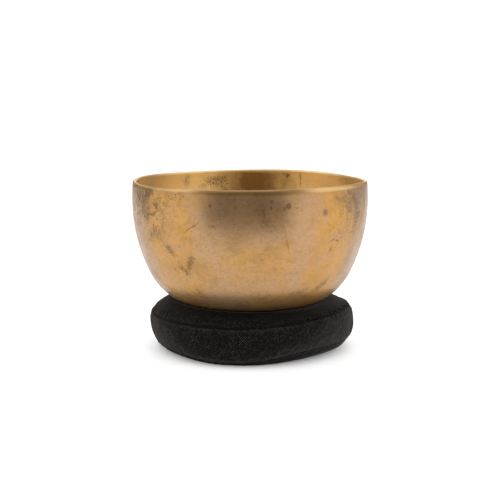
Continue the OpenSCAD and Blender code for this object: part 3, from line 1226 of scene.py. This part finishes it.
def black_twill(name, rib_pitch, rib_turn, relief, contrast, sheen):
    """Black cotton twill: slanting ribs of short floats, each a little different, their tops lighter
    partly from wear and partly with painted glints, and rubbed lighter where the cloth folds.
    Painted shade makes it blacker in the seam grooves and under the bowl, and painted light makes it
    lighter on the right."""
    g = Graph(name)
    place = g.attribute("cloth_place")
    sway = g.noise(place, 0.11, 2, output="Color") - (0.5, 0.5, 0.5)
    place = place + sway * (0.7, 0.7, 0)
    turned = g.stretch(place, (1, 1, 1), -math.radians(rib_turn))
    run, across, _ = g.split(turned)
    rib_at = across / rib_pitch
    rib_number = g.math("FLOOR", rib_at)
    float_at = run / (rib_pitch * 0.8) + rib_number * 0.381
    rib, floats = (g.math("SINE", g.math("FRACT", at) * math.pi) for at in (rib_at, float_at))
    yarn = g.node("ShaderNodeTexWhiteNoise", Vector=g.join(rib_number, g.math("FLOOR", float_at)))
    yarn.noise_dimensions = "2D"
    luck = g.out(yarn, "Value")
    fibre = g.noise(g.stretch(place, (3.2, 3.2, 3.2)), 1, 4, 0.7)
    slub = g.noise(g.stretch(turned, (0.3, 0.9, 1)), 1, 4, 0.65)
    weave = g.math("POWER", rib, 1.5) * (floats * 0.5 + 0.5)
    weave = weave * g.between(slub, 0.3, 0.7, 0.75, 1.2)
    worn_and_glinting = weave * g.between(luck, 0, 1, 0.4, 1.3, smooth=False)

    g.colour = g.mix(DEEP_BLACK, BLACK_YARN, g.between(weave, 0.25, 0.9))
    faded = g.between(g.noise(place, 0.06, 4, 0.6), 0.36, 0.66, 0.45, 1)
    # The floats' tops are lighter, partly rubbed wear and partly a painted glint where they catch
    # the light
    g.paint(WORN_AND_PAINTED_LIGHT_YARN, g.between(worn_and_glinting, 0.45, 1.1) * (faded * contrast))
    from_seam = g.attribute("from_seam", "Fac")
    shoulder = g.between(from_seam, 0.5, 1.2) * g.between(from_seam, 4.0, 1.5)
    g.paint(WORN_AND_PAINTED_LIGHT_YARN, shoulder * (worn_and_glinting * 0.4))
    # Painted shade: blacker in the seam grooves
    g.paint(DEEP_BLACK, g.between(from_seam, 1.0, 0.2, 0, 0.9))
    # Painted shade: blacker under and beside the bowl, where the bowl shades the cloth
    x, y, _ = g.split(g.place())
    radius = g.length(g.join(x, y))
    g.paint(DEEP_BLACK, g.between(radius, 66 * MM, 53 * MM, 0, 0.95))
    # Painted light: lighter on the right, as if lit from the right and behind
    painted_light_right = g.between(x, 30 * MM, 62 * MM, 0, 0.22) * g.between(from_seam, 1, 5)
    g.paint(WORN_AND_PAINTED_LIGHT_YARN, painted_light_right * (weave * 0.6 + 0.4))
    speck = g.node("ShaderNodeTexVoronoi", Vector=g.stretch(place, (0.45, 0.45, 0.45)), Scale=1)
    luck = g.split(g.out(speck, "Color"))[1]
    lint = g.between(g.out(speck, "Distance"), 0.09, 0.03) * g.between(luck, 0.8, 0.9)
    g.paint(LINT, lint * 0.3)

    normal = g.bump(fibre * 0.25 + weave, relief * MM, 0.9)
    g.set(Base_Color=g.colour, Roughness=g.between(weave, 0, 1, 0.95, 0.8), Normal=normal)
    g.set(Specular_IOR_Level=0.07, Sheen_Weight=sheen, Sheen_Roughness=0.3)
    g.set(Sheen_Tint=(0.7, 0.62, 0.57, 1))
    return g.material


def white_wadding():
    g = Graph("wadding")
    fibres = g.noise(g.stretch(g.place_mm(), (0.5, 2.4, 1.2)), 1, 5, 0.7, 1.5)
    colour = g.mix(WADDING_SHADE, WADDING_WHITE, fibres)
    normal = g.bump(fibres, 0.5 * MM, 0.8)
    g.set(Base_Color=colour, Roughness=0.95, Normal=normal, Sheen_Weight=0.3)
    return g.material


def black_thread():
    g = Graph("black_thread")
    ply = g.noise(g.place_mm(), 4, 3, 0.6)
    colour = g.mix(DEEP_BLACK, WORN_AND_PAINTED_LIGHT_YARN, g.between(ply, 0.4, 0.7, 0, 0.6))
    g.set(Base_Color=colour, Roughness=0.6, Normal=g.bump(ply, 0.06 * MM, 0.7))
    return g.material


def make_cushion():
    turn = turns(COLUMNS)
    top, band, bottom = swell(*(around(section, turn) for section in stuffed_form()))
    columns = FINE * COLUMNS
    top_puckers, bottom_puckers = pucker_field(columns, 61), pucker_field(columns, 62)
    top_face = disc_panel("top_panel", top, top_puckers, 1)
    band_face = band_panel(band, top_puckers * 0.7, bottom_puckers)
    bottom_face = disc_panel("bottom_panel", bottom, bottom_puckers, -1)
    make_filling(top, band, bottom, white_wadding())
    make_threads(top_face, band_face, bottom_face, black_thread())


# ---- Studio: pale table, white surroundings, one dark place in front, two grey gaps behind ----

TABLE_SIZE = 12.0
# The table glows, a painted light that makes it white, and glows less near the cushion, a painted
# shadow
TABLE_GLOW = 0.4
PAINTED_SHADOW_GLOW = 0.14
GLOW_FROM = 52 * MM
GLOW_TO = 77 * MM
DARK_LEFT, DARK_RIGHT, DARK_END, DARK_H = -0.93, 0.69, -1.0, 0.5
GAP_R, GAP_H, GAP_COLUMNS = 1.5, 1.6, 12
WORLD_LIGHT = 1.05


def make_table():
    half = TABLE_SIZE / 2
    corners = [(-half, -half, 0), (half, -half, 0), (half, half, 0), (-half, half, 0)]
    g = Graph("table_white")
    soft = g.noise(g.place(), 3, 2, 0.5)
    shade = g.mix((0.9, 0.9, 0.9, 1), (0.93, 0.93, 0.93, 1), soft)
    g.set(Base_Color=shade, Roughness=0.6, Specular_IOR_Level=0.2)
    # Painted light and shadow: the table glows, less close to the cushion
    x, y, _ = g.split(g.place())
    glow_with_painted_shadow = g.between(g.length(g.join(x, y)), GLOW_FROM, GLOW_TO, PAINTED_SHADOW_GLOW, TABLE_GLOW)
    g.set(Emission_Color=(1, 1, 1, 1), Emission_Strength=glow_with_painted_shadow)
    table = make_object("table", corners, [(0, 1, 2, 3)], g.material, smooth=False)


def matt(name, colour):
    g = Graph(name)
    g.set(Base_Color=colour, Roughness=1.0, Specular_IOR_Level=0.0)
    return g.material


def make_reflected(name, points, faces, material):
    """A part of the studio that only the bowl's mirror sees."""
    place = make_object(name, points, faces, material, smooth=False)
    place.visible_camera = False
    place.visible_diffuse = False
    place.visible_shadow = False


def make_surroundings():
    """The unlit end of the studio, in front of the bowl, and two greyer gaps at the back."""
    dark = matt("studio_dark", (0.07, 0.054, 0.03, 1))
    far = [(DARK_RIGHT, DARK_END), (DARK_LEFT, DARK_END)]
    floor = [(x, y, 1 * MM) for x, y in [(-0.28, -0.31), (0.2, -0.31)] + far]
    make_reflected("dark_floor", floor, [(0, 1, 2, 3)], dark)
    wall = [(x, y, 0) for x, y in far[::-1]] + [(x, y, DARK_H) for x, y in far]
    make_reflected("dark_wall", wall, [(0, 1, 2, 3)], dark)
    grey = matt("studio_gap", (0.28, 0.235, 0.168, 1))
    turn = np.radians(np.linspace(112, 162, GAP_COLUMNS))
    for name, side in (("gap_left", -1), ("gap_right", 1)):
        foot = np.c_[side * GAP_R * np.sin(turn), -GAP_R * np.cos(turn)]
        points = [(x, y, z) for z in (0, GAP_H) for x, y in foot]
        make_reflected(name, points, grid_faces(2, GAP_COLUMNS, False), grey)


def make_world():
    world = bpy.data.worlds.new("studio")
    world.use_nodes = True
    background = world.node_tree.nodes["Background"]
    background.inputs["Color"].default_value = (1, 1, 1, 1)
    background.inputs["Strength"].default_value = WORLD_LIGHT
    bpy.context.scene.world = world
    bpy.context.scene.view_settings.view_transform = "Standard"


make_camera()
make_table()
make_surroundings()
make_world()
make_bowl()
make_cushion()
